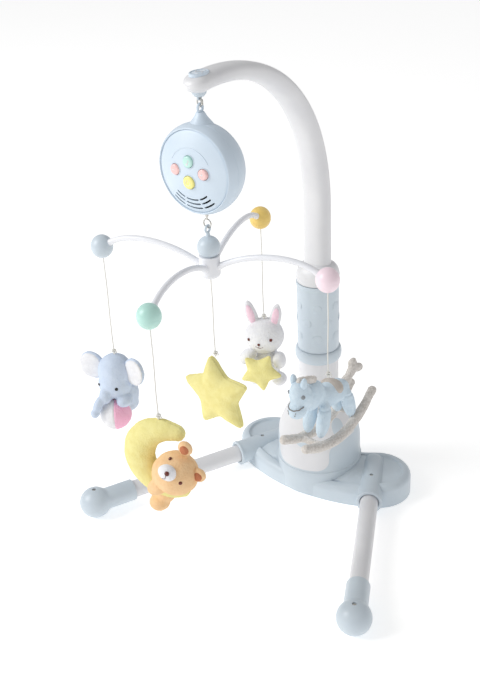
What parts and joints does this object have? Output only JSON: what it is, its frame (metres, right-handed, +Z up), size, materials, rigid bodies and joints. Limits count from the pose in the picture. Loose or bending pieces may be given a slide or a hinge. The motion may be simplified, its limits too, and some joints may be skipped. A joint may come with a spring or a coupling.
{
  "type": "crib mobile",
  "caption": "Floor-standing crib mobile: weighted base on two legs, arched arm, hanging music box and a turning hanger with plush toys on strings.",
  "frame": {"origin": "on the post's axis, in the plane of the floor that the base rests on", "axes": "+Z up; legs and arm reach towards -Y, the front; +X to the right of someone facing the front"},
  "size_m": [0.535, 0.5457, 0.7436],
  "materials": {
    "blue_plastic": "satin moulded ABS",
    "white_plastic": "satin moulded ABS",
    "mint_plastic": "satin moulded ABS",
    "pink_plastic": "satin moulded ABS",
    "yellow_plastic": "satin moulded ABS",
    "steel": "bright plated wire",
    "board": "glass-fibre board",
    "black_plastic": "moulded",
    "cell": "metal can",
    "string": "braided cord",
    "blue_plush": "short-pile plush",
    "tan_plush": "short-pile plush",
    "white_plush": "short-pile plush",
    "yellow_plush": "short-pile plush",
    "pink_plush": "short-pile plush",
    "sherpa": "looped sherpa fleece"
  },
  "bodies": {
    "stand": {"base_shell": "blue_plastic", "base_plate": "blue_plastic", "dome_cover": "white_plastic", "leg_tube_left": "white_plastic", "leg_tube_right": "white_plastic", "foot_left": "blue_plastic", "foot_right": "blue_plastic", "foot_screw_left": "steel", "foot_screw_right": "steel", "leg_screw_left": "steel", "leg_screw_right": "steel", "post_tube": "white_plastic", "lock_ring": "blue_plastic", "post_sleeve": "blue_plastic", "arch_arm": "white_plastic", "tip_badge": "blue_plastic", "hook_mount": "blue_plastic"},
    "link": {"arm_hook": "steel"},
    "music_box": {"music_front": "blue_plastic", "music_back": "blue_plastic", "face_panel": "blue_plastic", "circuit_board": "board", "speaker": "black_plastic", "gear_motor": "black_plastic", "battery_1": "cell", "battery_2": "cell"},
    "button_green_body": {"button_green": "mint_plastic"},
    "button_left_body": {"button_left": "pink_plastic"},
    "button_right_body": {"button_right": "pink_plastic"},
    "button_power_body": {"button_power": "yellow_plastic"},
    "battery_door_body": {"battery_door": "blue_plastic"},
    "pinion": {"motor_pinion": "black_plastic"},
    "drive": {"drive_hook": "steel"},
    "hanger": {"hub_cap": "blue_plastic", "hub_body": "white_plastic", "hanger_arm_pink": "white_plastic", "hanger_arm_yellow": "white_plastic", "hanger_arm_blue": "white_plastic", "hanger_arm_green": "white_plastic", "ball_pink": "pink_plastic", "ball_yellow": "yellow_plastic", "ball_blue": "blue_plastic", "ball_green": "mint_plastic"},
    "elephant_toy": {"string_elephant": "string", "elephant": "blue_plush", "elephant_ball": "pink_plush"},
    "bear_toy": {"string_bear": "string", "bear": "tan_plush", "moon": "yellow_plush"},
    "rabbit_toy": {"string_rabbit": "string", "rabbit": "white_plush", "rabbit_star": "yellow_plush"},
    "horse_toy": {"string_horse": "string", "rocking_horse": "blue_plush", "rockers": "sherpa"},
    "star_toy": {"string_star": "string", "star": "yellow_plush"}
  },
  "joints": [
    {"name": "link_swing", "type": "hinge", "parent": "stand", "child": "link", "pos_m": [0, -0.2625, 0.7099], "axis": [0, 1, 0], "range_deg": [-12, 12]},
    {"name": "music_box_swing", "type": "hinge", "parent": "link", "child": "music_box", "pos_m": [0, -0.2625, 0.701], "axis": [1, 0, 0], "range_deg": [-12, 3]},
    {"name": "hanger_spin", "type": "hinge", "parent": "music_box", "child": "drive", "pos_m": [0, -0.2625, 0.6], "axis": [0, 0, 1], "continuous": true},
    {"name": "pinion_spin", "type": "hinge", "parent": "music_box", "child": "pinion", "pos_m": [0, -0.24705, 0.59], "axis": [0, 0, 1], "continuous": true},
    {"name": "hanger_swing", "type": "hinge", "parent": "drive", "child": "hanger", "pos_m": [0, -0.2625, 0.542], "axis": [1, 0, 0], "range_deg": [-8, 3]},
    {"name": "horse_swing", "type": "hinge", "parent": "hanger", "child": "horse_toy", "pos_m": [0.16177, -0.23, 0.4765], "axis": [0.9804, 0.197, 0], "range_deg": [-20, 20]},
    {"name": "rabbit_swing", "type": "hinge", "parent": "hanger", "child": "rabbit_toy", "pos_m": [-0.0325, -0.10073, 0.4765], "axis": [-0.197, 0.9804, 0], "range_deg": [-20, 20]},
    {"name": "elephant_swing", "type": "hinge", "parent": "hanger", "child": "elephant_toy", "pos_m": [-0.16177, -0.295, 0.4765], "axis": [-0.9804, -0.197, 0], "range_deg": [-20, 20]},
    {"name": "bear_swing", "type": "hinge", "parent": "hanger", "child": "bear_toy", "pos_m": [0.0325, -0.42427, 0.4765], "axis": [0.197, -0.9804, 0], "range_deg": [-20, 20]},
    {"name": "star_swing", "type": "hinge", "parent": "hanger", "child": "star_toy", "pos_m": [0, -0.2625, 0.47], "axis": [0, 1, 0], "range_deg": [-20, 20]},
    {"name": "button_green_press", "type": "slide", "parent": "music_box", "child": "button_green_body", "axis": [0, 1, 0], "range_m": [0, 0.0015], "stiffness_N_per_m": 900},
    {"name": "button_left_press", "type": "slide", "parent": "music_box", "child": "button_left_body", "axis": [0, 1, 0], "range_m": [0, 0.0015], "stiffness_N_per_m": 900},
    {"name": "button_right_press", "type": "slide", "parent": "music_box", "child": "button_right_body", "axis": [0, 1, 0], "range_m": [0, 0.0015], "stiffness_N_per_m": 900},
    {"name": "button_power_press", "type": "slide", "parent": "music_box", "child": "button_power_body", "axis": [0, 1, 0], "range_m": [0, 0.0015], "stiffness_N_per_m": 900},
    {"name": "battery_door_slide", "type": "slide", "parent": "music_box", "child": "battery_door_body", "axis": [0, 1, 0], "range_m": [0, 0.03]}
  ],
  "couplings": [
    {"joint": "pinion_spin", "follows": "hanger_spin", "ratio": -2.4}
  ]
}
